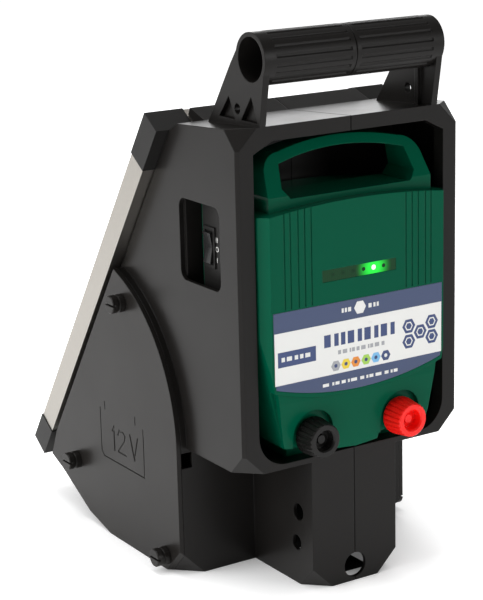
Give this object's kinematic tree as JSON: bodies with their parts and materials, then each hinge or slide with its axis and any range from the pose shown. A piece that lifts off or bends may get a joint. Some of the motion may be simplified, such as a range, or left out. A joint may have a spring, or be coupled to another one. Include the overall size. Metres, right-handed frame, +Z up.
{
  "type": "fence energizer",
  "caption": "Portable solar electric fence energizer: moulded carrier with handle, battery pod and tilted solar panel holding a green module with two screw terminals.",
  "frame": {"origin": "on the standing surface, under the middle of the whole object's box", "axes": "+X to the right seen from the front, +Y towards the back where the solar panel slopes down, +Z up"},
  "size_m": [0.2298, 0.3362, 0.4118],
  "materials": {
    "housing": "satin, fine moulded texture",
    "cover": "satin, fine moulded texture",
    "aluminium": "anodised",
    "cap": "matt",
    "glass": "clear",
    "cells": "dark blue cells behind glass",
    "battery": "satin",
    "battery_lid": "satin",
    "steel": "zinc plated",
    "rubber": "matt",
    "green": "glossy",
    "label": "printed film",
    "lens": "glossy, translucent",
    "board": "circuit board",
    "lamp": "clear",
    "capacitor": "sleeved can",
    "iron": "laminated",
    "copper": "enamelled wire",
    "rocker": "glossy",
    "black_knob": "glossy",
    "red_knob": "glossy"
  },
  "bodies": {
    "carrier": {"housing_left": "housing", "housing_right": "housing", "housing_screws": "steel", "panel_rail_left": "aluminium", "panel_rail_right": "aluminium", "panel_rail_top": "aluminium", "panel_rail_bottom": "aluminium", "panel_cap_top_left": "cap", "panel_cap_top_right": "cap", "panel_cap_bottom_left": "cap", "panel_cap_bottom_right": "cap", "solar_glass": "glass", "cell_laminate": "cells", "junction_box": "cap", "battery_case": "battery", "battery_lid": "battery_lid", "battery_terminal_positive": "steel", "battery_terminal_negative": "steel", "battery_pad": "rubber", "energiser_front": "green", "front_label": "label", "light_window": "lens", "energiser_back": "green", "case_gasket": "rubber", "case_screws": "steel", "led_board": "board", "led_lamps": "lamp", "main_board": "board", "storage_capacitor": "capacitor", "transformer_core": "iron", "transformer_coil": "copper", "switch_body": "cap", "earth_stud": "steel", "earth_nut": "steel", "fence_stud": "steel", "fence_nut": "steel"},
    "cover_left": {"battery_cover_left": "cover"},
    "cover_right": {"battery_cover_right": "cover"},
    "rocker": {"switch_rocker": "rocker"},
    "earth_washer": {"earth_washer": "steel"},
    "earth_knob": {"earth_knob": "black_knob"},
    "fence_washer": {"fence_washer": "steel"},
    "fence_knob": {"fence_knob": "red_knob"},
    "thumbscrew_left_top": {"thumbscrew_left_top": "cover"},
    "thumbscrew_left_rear": {"thumbscrew_left_rear": "cover"},
    "thumbscrew_left_front": {"thumbscrew_left_front": "cover"},
    "thumbscrew_right_top": {"thumbscrew_right_top": "cover"},
    "thumbscrew_right_rear": {"thumbscrew_right_rear": "cover"},
    "thumbscrew_right_front": {"thumbscrew_right_front": "cover"}
  },
  "joints": [
    {"name": "cover_left_off", "type": "slide", "parent": "carrier", "child": "cover_left", "axis": [-1, 0, 0], "range_m": [0, 0.04]},
    {"name": "cover_right_off", "type": "slide", "parent": "carrier", "child": "cover_right", "axis": [1, 0, 0], "range_m": [0, 0.04]},
    {"name": "thumbscrew_left_top_turn", "type": "hinge", "parent": "cover_left", "child": "thumbscrew_left_top", "pos_m": [-0.104, 0.00605, 0.1977], "axis": [-1, 0, 0], "range_deg": [0, 90]},
    {"name": "thumbscrew_left_rear_turn", "type": "hinge", "parent": "cover_left", "child": "thumbscrew_left_rear", "pos_m": [-0.104, 0.09175, 0.0481], "axis": [-1, 0, 0], "range_deg": [0, 90]},
    {"name": "thumbscrew_left_front_turn", "type": "hinge", "parent": "cover_left", "child": "thumbscrew_left_front", "pos_m": [-0.104, -0.04825, 0.0118], "axis": [-1, 0, 0], "range_deg": [0, 90]},
    {"name": "thumbscrew_right_top_turn", "type": "hinge", "parent": "cover_right", "child": "thumbscrew_right_top", "pos_m": [0.104, 0.00605, 0.1977], "axis": [1, 0, 0], "range_deg": [0, 90]},
    {"name": "thumbscrew_right_rear_turn", "type": "hinge", "parent": "cover_right", "child": "thumbscrew_right_rear", "pos_m": [0.104, 0.09175, 0.0481], "axis": [1, 0, 0], "range_deg": [0, 90]},
    {"name": "thumbscrew_right_front_turn", "type": "hinge", "parent": "cover_right", "child": "thumbscrew_right_front", "pos_m": [0.104, -0.04825, 0.0118], "axis": [1, 0, 0], "range_deg": [0, 90]},
    {"name": "switch_rock", "type": "hinge", "parent": "carrier", "child": "rocker", "pos_m": [-0.077, -0.08695, 0.255], "axis": [0, 1, 0], "range_deg": [-12, 12]},
    {"name": "earth_turn", "type": "hinge", "parent": "carrier", "child": "earth_washer", "pos_m": [-0.0387, -0.14925, 0.1224], "axis": [0, -1, 0], "range_deg": [0, 1080]},
    {"name": "earth_lift", "type": "slide", "parent": "earth_washer", "child": "earth_knob", "axis": [0, -1, 0], "range_m": [0, 0.00375]},
    {"name": "fence_turn", "type": "hinge", "parent": "carrier", "child": "fence_washer", "pos_m": [0.0387, -0.14925, 0.1224], "axis": [0, -1, 0], "range_deg": [0, 1080]},
    {"name": "fence_lift", "type": "slide", "parent": "fence_washer", "child": "fence_knob", "axis": [0, -1, 0], "range_m": [0, 0.00375]}
  ],
  "couplings": [
    {"joint": "earth_lift", "follows": "earth_turn", "m_per_rad": 0.00019894},
    {"joint": "fence_lift", "follows": "fence_turn", "m_per_rad": 0.00019894}
  ]
}
